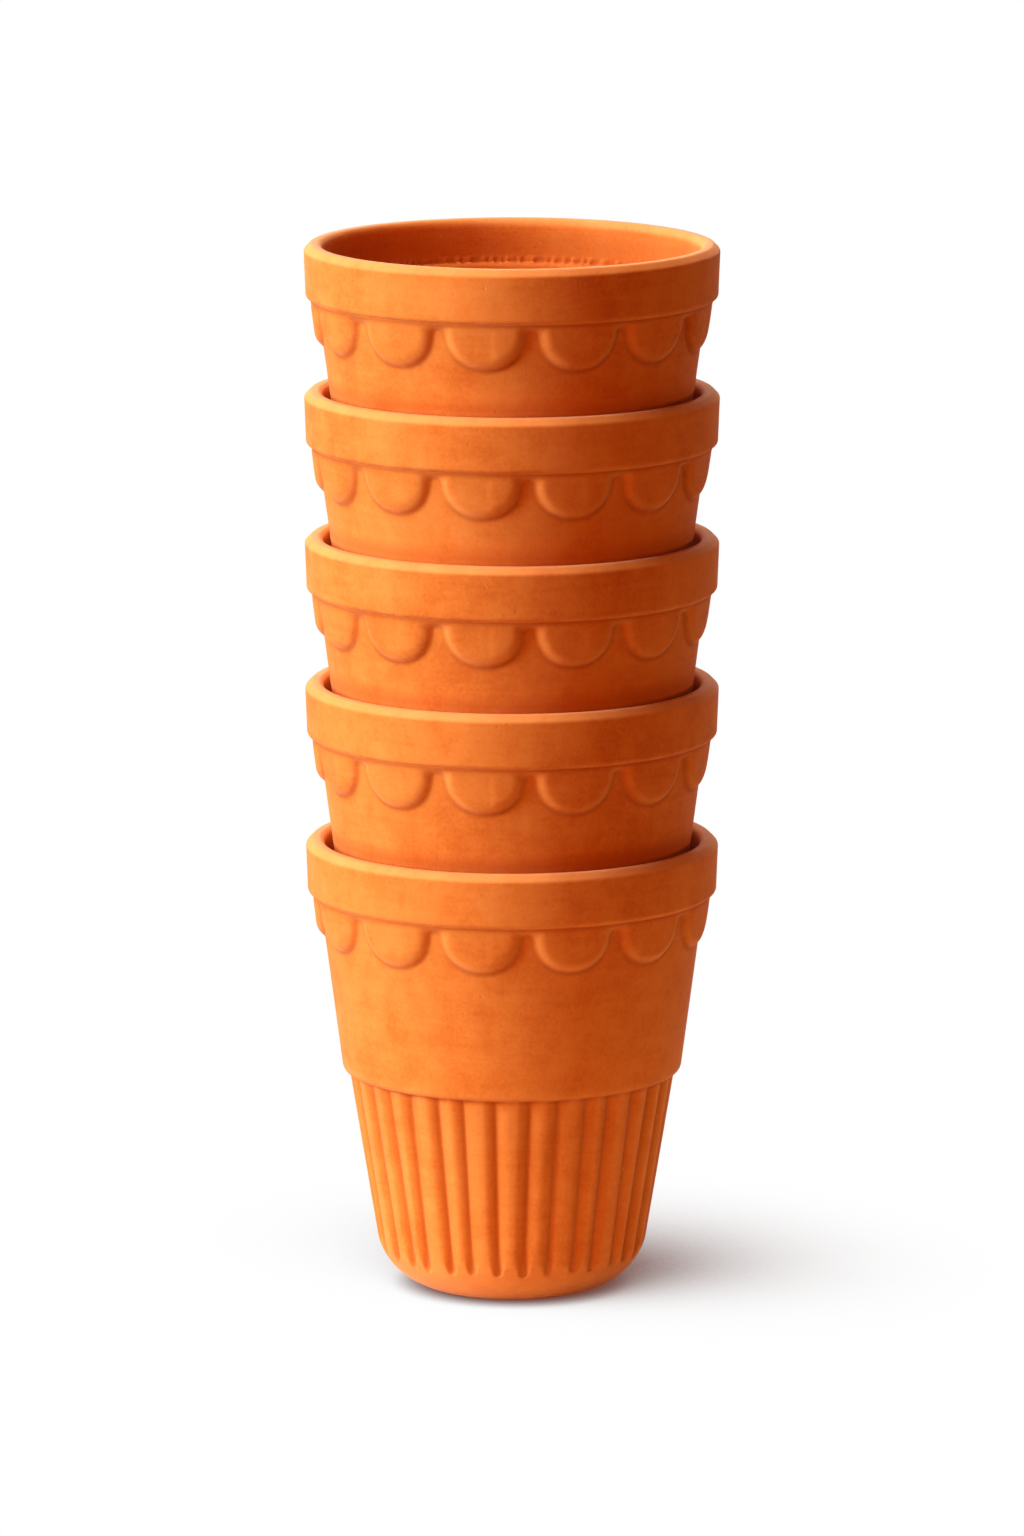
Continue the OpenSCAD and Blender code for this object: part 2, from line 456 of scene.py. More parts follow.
def ease(value: Grid, low: float | Grid, high: float | Grid) -> Grid:
    """Smooth step from 0 at low to 1 at high."""
    share = np.clip((value - low) / (high - low), 0.0, 1.0)
    return share * share * (3.0 - 2.0 * share)


def soft_max(first: Grid, second: Grid, reach: float) -> Grid:
    """The larger of two values, with the corner where they cross rounded over a reach."""
    near = np.clip(reach - np.abs(first - second), 0.0, None)
    return np.maximum(first, second) + near * near / (4.0 * reach)


def soft_min(first: Grid, second: Grid, reach: float) -> Grid:
    """The smaller of two values, rounded where they cross."""
    return -soft_max(-first, -second, reach)


def between(value: Grid, edges: Edges) -> Grid:
    """1 between the middle two of four edges, eased to 0 at the outer two."""
    return ease(value, edges[0], edges[1]) * (1.0 - ease(value, edges[2], edges[3]))


def bell(value: Grid, middle: float, width: float) -> Grid:
    """1 at the middle and falling to 0 on both sides, to a third at one width from it."""
    return np.exp(-(((value - middle) / width) ** 2))


# Cups


@dataclass(frozen=True)
class Handwork:
    """How far and where the surface strays from the bare outline, in millimetres.

    A sway is the largest drift of a repeated form, in degrees where it lies round the cup.
    """

    # Scallops
    scallop_sway: float = 0.4
    scallop_tilt: float = 0.12
    scallop_growth: float = 0.12
    scallop_power: float = 2.1
    edge_w: float = 2.4
    arch_slope: float = 1.5
    arch_fillet: float = 1.7
    root_out: float = 0.15
    dome: float = 0.85
    dome_power: float = 3.0
    apron_sway: float = 0.05
    fold: float = 0.08
    fold_across: Edges = (1.1, 2.2, 2.4, 6.0)
    fold_reach: tuple[float, float] = (1.4, 2.6)
    # Grooves
    groove_sway: float = 1.8
    groove_middle_z: float = 24.0
    groove_half_h: float = 19.0
    groove_uneven: float = 0.22
    rod_power: float = 0.95
    trough_z: tuple[float, float] = (11.0, 7.0)
    trough_w: tuple[float, float] = (0.3, 1.5)
    end_z: float = 6.2
    end_sway: float = 0.6
    end_round: float = 0.5
    end_slope: float = 1.0
    # Torn clay on the ledge
    ledge_r: Edges = (34.3, 34.9, 35.4, 35.9)
    ledge_top: Edges = (79.4, 79.7, 80.2, 80.4)
    lump: float = 0.4
    crumb_z: Edges = (79.75, 79.95, 80.5, 81.2)
    crumb: float = 0.4
    # Throwing marks inside, and the swell and wobble of the whole cup
    ring: float = 0.05
    ring_pitch: float = 3.1
    ring_z: Edges = (46.0, 48.0, 66.0, 69.0)
    spiral: float = 0.14
    spiral_pitch: float = 4.6
    swell: float = 0.05
    swell_z: Edges = (53.0, 57.0, 64.0, 68.0)
    wobble_r: float = 0.07
    wobble_z: float = 0.05


@dataclass(frozen=True)
class Tints:
    """How much wear with painted highlight, and how much painted shade, each place gets, from 0 to 1."""

    # Wear and painted highlight on rib crests, scallop edges, the shoulder and the lip; a paler heel
    rib_wear_and_highlight: float = 0.16
    scallop_wear_and_highlight: float = 0.20
    shoulder_wear_and_highlight: float = 0.10
    worn_foot: float = 0.4
    lip_wear_and_highlight: float = 0.56
    # Painted shade in recesses, gaps and the inside; the foot's share darkens the heel
    hollow_groove: float = 0.78
    hollow_scallop: float = 0.8
    hollow_rim: float = 0.9
    hollow_shoulder: float = 0.8
    hollow_foot: float = 0.2
    nest_ring: float = 0.7
    inside: float = 0.3
    mouth: float = 0.3
    carrying_mouth: float = 0.45
    torn: float = 0.7
    crumbs: float = 0.35


@dataclass
class Kulhad:
    """One cup of the stack, as a closed surface of clay.

    The sizes are those of the solid that it stands for, but for a bevel on the lip. Angles are in
    degrees, counted from the front of the stack towards the right. A cup is sunk in the one below
    up to a height, where a narrow ring of painted shade lies on its body, and one that carries a
    cup has more painted shade in its mouth. Worn and hollow are shares from 0 to 1 that the clay
    reads: wear with painted highlight, and painted shade.
    """

    node: str
    body: str
    foot_at: float
    turn: float
    wall: float
    seed: int
    clay: FiredClay
    sunk: float = 0.0
    carries: bool = True

    height: float = 88.4
    rim_r: float = 39.99
    rim_low_r: float = 39.6
    rim_z: float = 78.0
    rim_edge_round: float = 0.85
    lip_w: float = 3.55
    lip_bevel: float = 1.25
    lip_outer_round: float = 0.75
    lip_inner_round: float = 1.1
    ledge_z: float = 79.8
    body_top_r: float = 37.4
    body_slope: float = 0.132487
    shoulder_z: float = 42.895
    shoulder_round: float = 1.6
    apron_t: float = 1.3
    scallops: int = 13
    scallop_r: float = 7.95
    arch_z: float = 76.35
    apron_low: float = 66.0
    ribs: int = 33
    rib_depth: float = 1.1
    foot_r: float = 24.599
    foot_round: float = 12.8
    rib_slope: float = 0.165513
    rib_inset: float = 0.1
    rib_wall: float = 3.685
    floor_t: float = 5.0
    floor_round: float = 9.0
    step_h: float = 4.0
    step_round: float = 1.8
    seat_low: float = 75.0
    hand: Handwork = Handwork()
    tints: Tints = Tints()

    @property
    def name(self) -> str:
        """Name of the finished piece."""
        return self.node.replace("cup", "kulhad")

    def build(self) -> bpy.types.Object:
        """Makes the cup, dresses it and sets it on its body.

        Returns:
            The finished piece.
        """
        mesh = self._mesh()
        piece = bpy.data.objects.new(self.name, mesh)
        bpy.context.scene.collection.objects.link(piece)
        shift = np.random.default_rng(self.seed).uniform(-9.0, 9.0, 3)
        mesh.materials.append(self.clay.build(f"fired_clay_{self.body}", tuple(map(float, shift))))
        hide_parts(self.node)
        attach(piece, self.body)
        LOG.info("%s: %d vertices, %d faces", piece.name, len(mesh.vertices), len(mesh.polygons))
        return piece

    def body_r(self, z: float | Grid) -> float | Grid:
        """Radius of the plain tapered body at a height."""
        return self.body_top_r - (self.rim_z - z) * self.body_slope

    def lathe_r(self, z: float | Grid) -> float | Grid:
        """Radius of the lathe line over the ribs at a height."""
        return self.foot_r + z * self.rib_slope

    def _stretches(self) -> tuple[Stretch, ...]:
        """The outline in five parts: foot, wall, rim, mouth and inside."""
        foot_flat = self.foot_r - self.foot_round * 0.86
        low = self.shoulder_z - 0.35
        crease_z = self.rim_z - 0.4
        band_top = self.height - 2.2
        mouth_r = self.rim_r - self.lip_w
        mouth_low_r = self.rim_low_r - self.lip_w + 0.05
        seat_r = self.body_r(self.seat_low) - self.wall
        step_top = self.shoulder_z + self.step_h / 2
        step_low = self.shoulder_z - self.step_h / 2
        foot = Stretch((Corner(0.0, 0.0), Corner(foot_flat, 0.0)), ((0.0, 2.2),), Columns.PLAIN, Face.PLAIN)
        wall = Stretch(
            (
                Corner(foot_flat, 0.0),
                Corner(self.foot_r, 0.0, self.foot_round),
                Corner(self.lathe_r(low) - self.rib_inset, low, 0.12),
                Corner(self.body_r(self.shoulder_z), self.shoulder_z, self.shoulder_round),
                Corner(self.body_r(crease_z), crease_z),
            ),
            (
                (0.0, 1.1), (4.4, 1.0), (5.4, 0.36), (9.2, 0.36), (10.4, 2.8), (41.0, 2.8),
                (42.2, 0.36), (44.6, 0.36), (46.0, 2.8), (66.4, 2.8), (67.4, 0.36), (crease_z, 0.33),
            ),
            Columns.FINE,
            Face.RELIEF,
        )
        rim = Stretch(
            (
                Corner(self.body_r(crease_z) + self.apron_t, crease_z),
                Corner(self.body_top_r + self.apron_t, self.rim_z - 0.04, 0.15),
                Corner(self.rim_low_r, self.rim_z, self.rim_edge_round),
                Corner(self.rim_r - 0.03, self.height - self.lip_bevel, self.lip_outer_round),
                Corner(self.rim_r - self.lip_bevel, self.height, self.lip_outer_round),
                Corner(mouth_r, self.height, self.lip_inner_round),
                Corner(mouth_r - 0.02, band_top + 0.8),
            ),
            (
                (crease_z, 0.22), (79.0, 0.26), (79.8, 1.3), (85.6, 1.3), (86.2, 0.28),
                (self.height, 0.28),
            ),
            Columns.FINE,
            Face.PLAIN,
        )
        mouth = Stretch(
            (
                Corner(mouth_r - 0.02, band_top + 0.8),
                Corner(mouth_low_r, self.ledge_z, 0.3),
                Corner(self.body_r(self.ledge_z) - self.wall, self.ledge_z, 0.7),
                Corner(seat_r, self.seat_low),
            ),
            (
                (self.seat_low, 1.6), (78.4, 1.2), (79.1, 0.30), (81.2, 0.28), (81.9, 1.4),
                (85.2, 1.4), (85.8, 0.5), (self.height, 0.5),
            ),
            Columns.FINE,
            Face.INSIDE,
        )
        inside = Stretch(
            (
                Corner(seat_r, self.seat_low),
                Corner(self.body_r(step_top) - self.wall, step_top, self.step_round),
                Corner(self.lathe_r(step_low) - self.rib_wall, step_low, self.step_round),
                Corner(self.lathe_r(self.floor_t) - self.rib_wall, self.floor_t, self.floor_round),
                Corner(0.0, self.floor_t),
            ),
            (
                (self.floor_t, 1.3), (14.0, 1.6), (20.0, 3.0), (38.0, 3.0), (39.5, 0.9), (46.5, 0.9),
                (48.0, 3.4), (self.seat_low, 3.4),
            ),
            Columns.PLAIN,
            Face.INSIDE,
        )
        return foot, wall, rim, mouth, inside

    def _apron(self, angle: Grid, z: Grid) -> tuple[Grid, Grid]:
        """Relief of the scalloped apron.

        The reach inside the apron is the larger of two distances, with the corner between them
        rounded: inside the nearest scallop, which is a little squarer than a circle, and above
        the arches, the height over their tops. Relief rises steeply from the root and turns
        over slowly into the face, by one less the cube of the share that is left. The face has
        one faint fold right of the middle of each scallop.

        Args:
            angle: degrees from the cup's own front.
            z: height on the cup.

        Returns:
            Relief in millimetres and reach inside the apron's edge.
        """
        pitch = 360.0 / self.scallops
        drift, size, depth, tilt = self._uneven(4, self.scallops)
        which = np.floor(angle / pitch).astype(int) % self.scallops
        off = (angle / pitch - np.floor(angle / pitch) - 0.5) * pitch
        hand = self.hand
        across = np.radians(off - hand.scallop_sway * drift[which]) * self.body_r(z)
        down = z - self.arch_z
        fall = np.clip(-down + hand.scallop_tilt * tilt[which], 0.0, None)
        radius = self.scallop_r + hand.scallop_growth * size[which]
        power = hand.scallop_power
        hang = radius - (np.abs(across) ** power + fall**power) ** (1.0 / power)
        reach = soft_max(hang, hand.arch_slope * down, hand.arch_fillet) - hand.root_out
        edge = np.clip(reach / hand.edge_w, 0.0, 1.0)
        domed = 1.0 - (1.0 - edge) ** hand.dome_power
        rise = (1.0 - hand.dome) * ease(edge, 0.0, 1.0) + hand.dome * domed
        fold = between(across, hand.fold_across) * ease(reach, *hand.fold_reach)
        fold *= 1.0 - ease(z, self.arch_z - 0.6, self.arch_z + 1.0)
        relief = rise * (self.apron_t + hand.apron_sway * depth[which]) + hand.fold * fold
        flat = ease(z, self.rim_z - 1.1, self.rim_z - 0.5)
        return relief * (1.0 - flat) + self.apron_t * flat, reach

    def _grooves(self, angle: Grid, z: Grid) -> tuple[Grid, Grid]:
        """Depth of the grooves between the ribs.

        The distance to the middle of the nearest groove, which drifts and leans a little, gives
        the rib's height as that of a round rod, eased at the foot of its side, so that the ribs
        are broad and the grooves narrow. Near its end a groove widens to a small trough, which
        ends above the foot in a short scooped slope with a round edge.

        Args:
            angle: degrees from the cup's own front.
            z: height on the cup.

        Returns:
            Depth under the rib crests in millimetres, and the share of the rib's full height.
        """
        pitch = 360.0 / self.ribs
        drift, lean, depth, end = self._uneven(4, self.ribs)
        hand = self.hand
        up = (z - hand.groove_middle_z) / hand.groove_half_h
        nearest = np.full(angle.shape, 1e9)
        which = np.zeros(angle.shape, int)
        for side in (-1, 0, 1):
            index = (np.round(angle / pitch).astype(int) + side) % self.ribs
            middle = (np.round(angle / pitch) + side) * pitch
            middle = middle + hand.groove_sway * drift[index] - lean[index] * up
            away = np.abs(angle - middle)
            which = np.where(away < nearest, index, which)
            nearest = np.minimum(away, nearest)
        arc = np.radians(nearest) * self.lathe_r(z)
        half = np.radians(pitch) * self.lathe_r(z) / 2
        out = np.clip(arc / half, 0.0, 1.0)
        rod = np.maximum(2.0 * out - out * out, 0.0004) ** hand.rod_power
        low = ease(z, *hand.trough_z)
        share = rod * (1.0 - low) + ease(arc, *hand.trough_w) * low
        full = self.rib_depth * (1.0 + hand.groove_uneven * depth[which])
        end_z = hand.end_z + hand.end_sway * end[which] + hand.end_round * arc * arc
        fade = ease(z, end_z, end_z + hand.end_slope)
        top = 1.0 - ease(z, self.shoulder_z - 0.3, self.shoulder_z - 0.02)
        return full * (1.0 - share) * fade * top, share

    def _uneven(self, kinds: int, count: int) -> Grid:
        """Seeded numbers of about -1 to 1, as many kinds as asked, for each repeat of a pattern."""
        draw = np.random.default_rng(self.seed * 7 + count)
        return np.clip(draw.normal(0.0, 0.5, (kinds, count)), -1.0, 1.0)

    def _wobble(self, angle: Grid, salt: int) -> Grid:
        """Slow unevenness round the cup: a sum of two to six waves round it, about -1 to 1."""
        draw = np.random.default_rng(self.seed * 13 + salt)
        waves = np.arange(2, 7)[:, None]
        turns = draw.uniform(0.0, 2.0 * np.pi, (5, 1))
        sizes = draw.uniform(0.4, 1.0, (5, 1)) / waves
        line = np.radians(angle.ravel())[None]
        return (sizes * np.cos(waves * line + turns)).sum(0).reshape(angle.shape)

    def _ragged(self, angle: Grid) -> Grid:
        """Torn clay on the ledge, 0 to 1.2: about 120 uneven bumps round the cup."""
        draw = np.random.default_rng(self.seed * 17)
        waves = np.arange(48, 190, 5)[:, None]
        turns = draw.uniform(0.0, 2.0 * np.pi, waves.shape)
        line = np.radians(angle.ravel())[None]
        bumps = np.cos(waves * line + turns).sum(0) / math.sqrt(len(waves))
        return np.clip(0.45 + 0.45 * bumps, 0.0, 1.2).reshape(angle.shape)

    def _surface(self, stretch: Stretch) -> tuple[Grid, Grid, Grid]:
        """Carries one stretch of the outline round the axis with its relief.

        Args:
            stretch: the part of the outline.

        Returns:
            Points in metres as rows x columns x 3, and at each the share of wear with painted
            highlight and the hollow share of painted shade.
        """
        rows = stretch.rows()
        count = stretch.columns.value
        degrees = np.arange(count) * 360.0 / count
        angle, z = np.broadcast_arrays(degrees[None], rows[:, 1:2])
        r = np.repeat(rows[:, :1], count, axis=1)
        z, wear_and_highlight, hollow = z.copy(), np.zeros(r.shape), np.zeros(r.shape)
        free = ease(z, self.rim_z - 8.0, self.rim_z + 3.0)
        if stretch.face is Face.RELIEF:
            r, wear_and_highlight, hollow = self._outer_relief(angle, r, z)
        elif stretch.face is Face.INSIDE:
            r, z, hollow = self._inner_relief(angle, r, z)
            free = ease(z, 81.0, 84.0)
        high = ease(z, self.height - 3.0, self.height - 0.2)
        inwards = self.hand.wobble_r * (1.0 + self._wobble(angle, 1)) * free
        r = r - inwards * np.minimum(r / 20.0, 1.0)
        z = z - self.hand.wobble_z * (1.0 + self._wobble(angle, 2)) * high
        # Wear and painted highlight along the lip
        lip = ease(z, self.height - 1.7, self.height - 1.0)
        wear_and_highlight = np.maximum(wear_and_highlight, self.tints.lip_wear_and_highlight * lip)
        turned = np.radians(angle + self.turn - 90.0)
        place = np.stack([r * np.cos(turned), r * np.sin(turned), z + self.foot_at], axis=2)
        return place * MM, wear_and_highlight, hollow

    def _inner_relief(self, angle: Grid, r: Grid, z: Grid) -> tuple[Grid, Grid, Grid]:
        """Torn clay along the ledge, and faint rings and a spiral that the thrower's hand left.

        Lumps stand up on the ledge, and crumbs stand out on the mouth's wall just above it. The
        inside gets painted shade, more in the mouth and between the lumps and crumbs.

        Args:
            angle: degrees from the cup's own front.
            r: radius of the bare outline.
            z: height on the cup.

        Returns:
            Radius, height and the hollow share of painted shade.
        """
        hand, tints = self.hand, self.tints
        lumps = self._ragged(angle)
        torn = between(r, hand.ledge_r) * between(z, hand.ledge_top)
        # Painted shade: darker inside, more in the mouth and where a cup sits, and between torn lumps
        in_mouth = ease(z, self.height - 1.2, self.height - 4.4) * ease(r, 35.0, 35.8)
        hollow = tints.inside + (tints.mouth + tints.carrying_mouth * self.carries) * in_mouth
        hollow += tints.torn * torn * (1.0 - ease(lumps, 0.1, 0.8))
        hollow *= 1.0 - ease(z, self.height - 1.6, self.height - 0.6)
        z = z + hand.lump * lumps * torn
        crumbs = between(z, hand.crumb_z) * ease(r, 35.4, 35.8)
        r = r - hand.crumb * ease(lumps, 0.3, 1.0) * crumbs
        # Painted shade around the crumbs
        hollow += tints.crumbs * crumbs * (1.0 - ease(lumps, 0.1, 0.9))
        on_floor = (1.0 - ease(z, 5.3, 6.2)) * ease(r, 2.0, 5.0) * (z < 7.0)
        rings = np.cos(2.0 * np.pi * (z / hand.ring_pitch + angle / 360.0)) * between(z, hand.ring_z)
        spiral = np.cos(2.0 * np.pi * (r / hand.spiral_pitch + angle / 360.0)) * on_floor
        return r + hand.ring * rings, z + hand.spiral * spiral, hollow

    def _outer_relief(self, angle: Grid, r: Grid, z: Grid) -> tuple[Grid, Grid, Grid]:
        """Ribs below the shoulder, apron under the rim, and a slight swell of the plain body.

        Args:
            angle: degrees from the cup's own front.
            r: radius of the bare outline.
            z: height on the cup.

        Returns:
            Radius, the share of wear with painted highlight, and the hollow share of painted shade.
        """
        ribbed = z < self.shoulder_z
        depth, share = self._grooves(angle, z)
        fluted = soft_min(r, self.lathe_r(z) - self.rib_inset - depth, 0.12)
        relief, reach = self._apron(angle, z)
        hung = (z > self.apron_low) & (z < self.rim_z - 0.38)
        swell = self.hand.swell * self._wobble(angle, 3) * between(z, self.hand.swell_z)
        out = np.where(z < self.shoulder_z - 0.01, fluted, r)
        out = np.where(hung, self.body_r(z) + relief, out) + swell
        in_ribs = ribbed * ease(z, 6.0, 8.0)
        heel = ease(z, 11.0, 4.0)
        below_arches = 1.0 - ease(z, self.arch_z - 0.8, self.arch_z + 0.8)
        in_shade = 0.45 + 0.55 * ease(z, self.arch_z - 3.5, self.arch_z - 6.5)
        tints = self.tints
        # Wear and painted highlight on rib crests, scallop edges and the shoulder; a paler tone on the heel
        wear_and_highlight = (
            tints.rib_wear_and_highlight * in_ribs * ease(share, 0.86, 1.0)
            + tints.scallop_wear_and_highlight * hung * bell(reach, 1.0, 0.5) * below_arches
            + tints.shoulder_wear_and_highlight * bell(z, self.shoulder_z + 1.0, 0.7)
            + tints.worn_foot * heel
        )
        # Painted shade in grooves, at scallop roots, under rim and shoulder, above the cup below; heel
        # darker
        hollow = (
            tints.hollow_groove * in_ribs * (1.0 - share) ** 1.1
            + tints.hollow_scallop * hung * bell(reach, -0.1, 0.5) * in_shade
            + tints.hollow_rim * bell(z, self.rim_z - 0.3, 0.6)
            + tints.hollow_shoulder * bell(z, self.shoulder_z - 0.25, 0.5)
            + tints.nest_ring * (self.sunk > 0.0) * bell(z, self.sunk + 0.6, 1.1)
            + tints.hollow_foot * heel
        )
        return out, np.clip(wear_and_highlight, 0.0, 1.0), np.clip(hollow, 0.0, 1.0)

    def _mesh(self) -> bpy.types.Mesh:
        """Joins the stretches into one closed mesh with a pole at the foot and one at the floor."""
        rings: list[Grid] = []
        shares: list[Grid] = []
        for place, wear_and_highlight, hollow in map(self._surface, self._stretches()):
            for points, *pair in zip(place, wear_and_highlight, hollow):
                at_pole = float(np.hypot(points[0, 0], points[0, 1])) < 1e-7
                alike = bool(rings) and len(points) == len(rings[-1])
                if not (alike and np.allclose(points, rings[-1], atol=1e-8)):
                    rings.append(points[:1] if at_pole else points)
                    shares.append(np.stack(pair, axis=1)[: len(rings[-1])])
        rings, shares = self._without_doubles(rings, shares)
        starts = np.cumsum([0] + [len(ring) for ring in rings])
        faces: list[Grid] = []
        for first, second, low, high in zip(starts, starts[1:], rings, rings[1:]):
            faces += ring_faces(first, second, len(low), len(high))
        mesh = mesh_of(self.name, np.concatenate(rings), faces)
        for column, name in enumerate(("wear_and_highlight", "hollow")):
            values = np.concatenate(shares)[:, column].astype(np.float32)
            mesh.attributes.new(name, "FLOAT", "POINT").data.foreach_set("value", values)
        return mesh

    @staticmethod
    def _without_doubles(rings: list[Grid], shares: list[Grid]) -> tuple[list[Grid], list[Grid]]:
        """Drops a plain ring that lies on a fine one at the joint of two stretches."""
        keep = [
            not any(
                0 <= other < len(rings)
                and len(rings[other]) > len(ring) > 1
                and float(np.linalg.norm(rings[other][0] - ring[0])) < 1e-6
                for other in (index - 1, index + 1)
            )
            for index, ring in enumerate(rings)
        ]
        return (
            [ring for ring, kept in zip(rings, keep) if kept],
            [share for share, kept in zip(shares, keep) if kept],
        )


def ring_faces(first: int, second: int, low: int, high: int) -> list[Grid]:
    """Faces between two rings of vertices, counter-clockwise seen from outside.

    Equal rings give quads, a single vertex gives a fan, and rings of which one has four times
    the vertices of the other are stitched with five triangles a cell.

    Args:
        first: index of the first vertex of the earlier ring.
        second: the same of the later ring.
        low: number of vertices in the earlier ring.
        high: number in the later ring.

    Returns:
        Arrays of faces, each with three or four columns.
    """
    if low == 1:
        j = np.arange(high)
        return [np.stack([np.full(high, first), second + (j + 1) % high, second + j], 1)]
    if high == 1:
        j = np.arange(low)
        return [np.stack([first + j, first + (j + 1) % low, np.full(low, second)], 1)]
    if low == high:
        j = np.arange(low)
        on = (j + 1) % low
        return [np.stack([first + j, first + on, second + on, second + j], 1)]
    coarse_first = low < high
    cells = min(low, high)
    ratio = max(low, high) // cells
    coarse, fine = (first, second) if coarse_first else (second, first)
    j = np.arange(cells)
    here, on = coarse + j, coarse + (j + 1) % cells

    def along(step: int) -> Grid:
        """Fine vertices a number of steps on from each coarse one."""
        return fine + (j * ratio + step) % (cells * ratio)

    tips = [here if step < ratio // 2 else on for step in range(ratio)]
    made = [[tip, along(step + 1), along(step)] for step, tip in enumerate(tips)]
    made.append([here, on, along(ratio // 2)])
    return [np.stack(corners if coarse_first else corners[::-1], 1) for corners in made]


def mesh_of(name: str, points: Grid, faces: list[Grid]) -> bpy.types.Mesh:
    """A smooth-shaded mesh from points and arrays of faces."""
    mesh = bpy.data.meshes.new(name)
    corners = np.concatenate([group.ravel() for group in faces]).astype(np.int32)
    sizes = np.concatenate([np.full(len(group), group.shape[1]) for group in faces])
    starts = np.concatenate([[0], np.cumsum(sizes)[:-1]]).astype(np.int32)
    mesh.vertices.add(len(points))
    mesh.vertices.foreach_set("co", points.astype(np.float32).ravel())
    mesh.loops.add(len(corners))
    mesh.loops.foreach_set("vertex_index", corners)
    mesh.polygons.add(len(sizes))
    mesh.polygons.foreach_set("loop_start", starts)
    mesh.polygons.foreach_set("use_smooth", np.ones(len(sizes), bool))
    mesh.update(calc_edges=True)
    mesh.validate()
    return mesh


# Studio


@dataclass(frozen=True)
class Softbox:
    """A rectangular lamp that points at the middle of the stack."""

    name: str
    azimuth: float
    elevation: float
    distance: float
    width: float
    tall: float
    power: float
    colour: Vector3
    aim_z: float = 0.11

    def build(self) -> bpy.types.Object:
        """Hangs the lamp at its azimuth, counted from the front towards the right."""
        lamp = bpy.data.lights.new(self.name, "AREA")
        lamp.shape = "RECTANGLE"
        lamp.size, lamp.size_y = self.width, self.tall
        lamp.energy, lamp.color = self.power, self.colour
        piece = bpy.data.objects.new(self.name, lamp)
        turn, lift = math.radians(self.azimuth), math.radians(self.elevation)
        back = np.array([math.sin(turn) * math.cos(lift), -math.cos(turn) * math.cos(lift), math.sin(lift)])
        aim_from(piece, np.array([0.0, 0.0, self.aim_z]) + back * self.distance, back)
        bpy.context.scene.collection.objects.link(piece)
        return piece


def aim_from(piece: bpy.types.Object, place: Grid, back: Grid) -> None:
    """Puts an object at a place so that its own -Z looks against the given direction."""
    side = np.cross([0.0, 0.0, 1.0], back)
    side = side / np.linalg.norm(side)
    up = np.cross(back, side)
    turn = np.stack([side, up, back], axis=1)
    rows = [[*map(float, turn[i]), float(place[i])] for i in range(3)]
    piece.matrix_world = Matrix([*rows, [0.0, 0.0, 0.0, 1.0]])


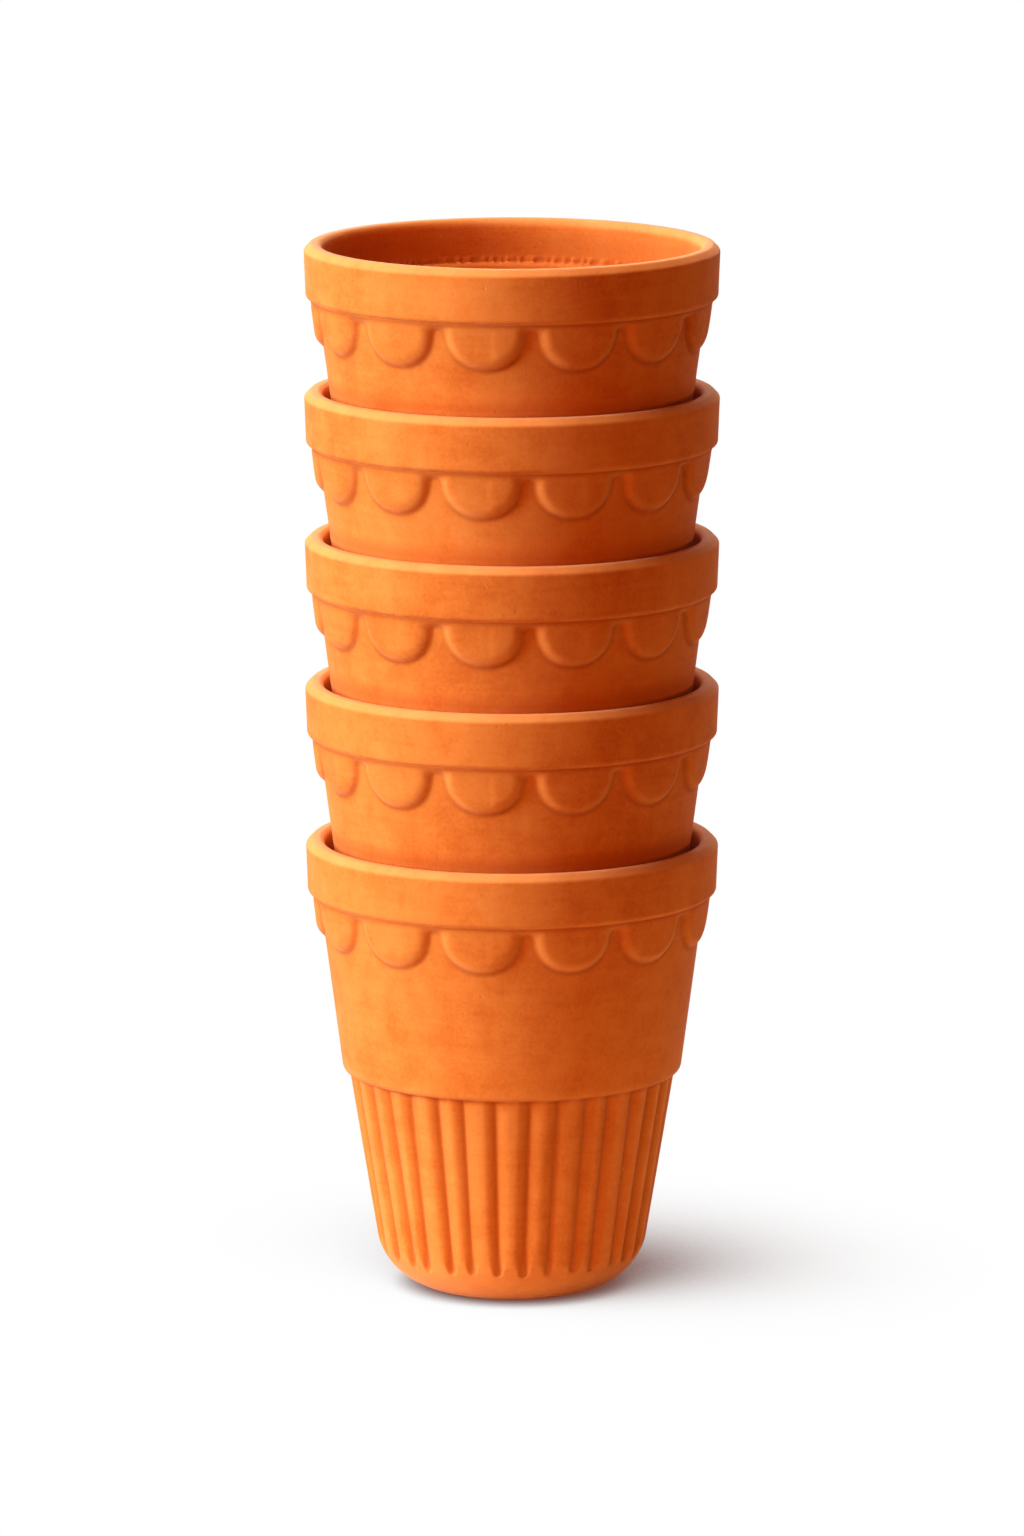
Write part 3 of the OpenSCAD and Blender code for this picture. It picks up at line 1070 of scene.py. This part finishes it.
@dataclass
class Studio:
    """Floor, world, lamps and camera."""

    floor: PaleFloor = PaleFloor()
    floor_half: float = 1.4
    ambient: Colour = (0.03, 0.012, 0.004, 1.0)
    lens: float = 231.45
    sensor: float = 36.0
    clip_end: float = 20.0
    camera_elevation: float = 10.515
    camera_distance: float = 1.9087
    aim_z: float = 0.101835
    lamps: tuple[Softbox, ...] = (
        Softbox("key", -74.0, 17.0, 1.3, 0.7, 0.7, 19.5, (1.0, 1.03, 1.3)),
        Softbox("overhead", -70.0, 68.0, 1.2, 0.5, 0.5, 10.4, (1.0, 0.62, 0.52)),
        Softbox("front_fill", -16.0, 8.0, 1.3, 0.7, 0.7, 6.0, (1.0, 0.19, 0.01)),
        Softbox("side_fill", 115.0, 2.0, 1.3, 1.0, 0.2, 4.4, (1.0, 0.26, 0.04)),
        Softbox("back", 187.0, 42.0, 1.3, 0.8, 0.6, 6.5, (1.0, 0.8, 0.65)),
    )

    def build(self) -> None:
        """Makes all of it and sets the scene's camera and colour view."""
        self._floor()
        self._world()
        for lamp in self.lamps:
            lamp.build()
        self._camera()
        bpy.context.scene.view_settings.view_transform = "Standard"
        LOG.info("studio: %d lamps", len(self.lamps))

    def _floor(self) -> None:
        """Lays the paper at the height of the foot."""
        half = self.floor_half
        corners = np.array([[-half, -half, 0.0], [half, -half, 0.0], [half, half, 0.0], [-half, half, 0.0]])
        sheet = bpy.data.objects.new("paper", mesh_of("paper", corners, [np.array([[0, 1, 2, 3]])]))
        sheet.data.materials.append(self.floor.build())
        bpy.context.scene.collection.objects.link(sheet)

    def _world(self) -> None:
        """White to the camera and in reflections, and a weak clay-coloured light on everything."""
        world = bpy.data.worlds.new("white_room")
        nodes = ShaderNodes(world)
        colour = nodes.mix(seen_directly(nodes), self.ambient, WHITE)
        light = nodes.add("ShaderNodeBackground", None, {"Color": colour, "Strength": 1.0})
        nodes.add("ShaderNodeOutputWorld", None, {"Surface": light})
        bpy.context.scene.world = world

    def _camera(self) -> None:
        """Looks at the stack from a little above, through a long lens."""
        eye = bpy.data.cameras.new("camera")
        eye.lens, eye.sensor_width, eye.clip_end = self.lens, self.sensor, self.clip_end
        piece = bpy.data.objects.new("camera", eye)
        lift = math.radians(self.camera_elevation)
        back = np.array([0.0, -math.cos(lift), math.sin(lift)])
        aim_from(piece, np.array([0.0, 0.0, self.aim_z]) + back * self.camera_distance, back)
        bpy.context.scene.collection.objects.link(piece)
        bpy.context.scene.camera = piece


@dataclass
class Stack:
    """The five cups, from the lowest up."""

    first_step: float = 30.796
    step: float = 28.305
    turns: tuple[float, ...] = (4.5, 5.3, 5.4, 4.9, 6.0)
    walls: tuple[float, ...] = (3.93, 3.6, 3.6, 3.6, 3.6)
    bodies: tuple[str, ...] = ("bottom", "second", "third", "fourth", "top")
    first_seed: int = 41
    clay: FiredClay = FiredClay()

    def build(self) -> None:
        """Makes every cup at its height in the stack."""
        for n, (body, turn, wall) in enumerate(zip(self.bodies, self.turns, self.walls)):
            foot_at = 0.0 if n == 0 else self.first_step + (n - 1) * self.step
            sunk = 0.0 if n == 0 else Kulhad.height - (self.first_step if n == 1 else self.step)
            carries = n + 1 < len(self.bodies)
            seed = self.first_seed + n
            Kulhad(f"{body}_cup", body, foot_at, turn, wall, seed, self.clay, sunk, carries).build()
        LOG.info("stack: %d cups", len(self.bodies))


def main() -> None:
    """Builds the stack and the studio."""
    logging.basicConfig(level=logging.INFO, format="%(name)s: %(message)s")
    Stack().build()
    Studio().build()


if __name__ == "__main__":
    main()
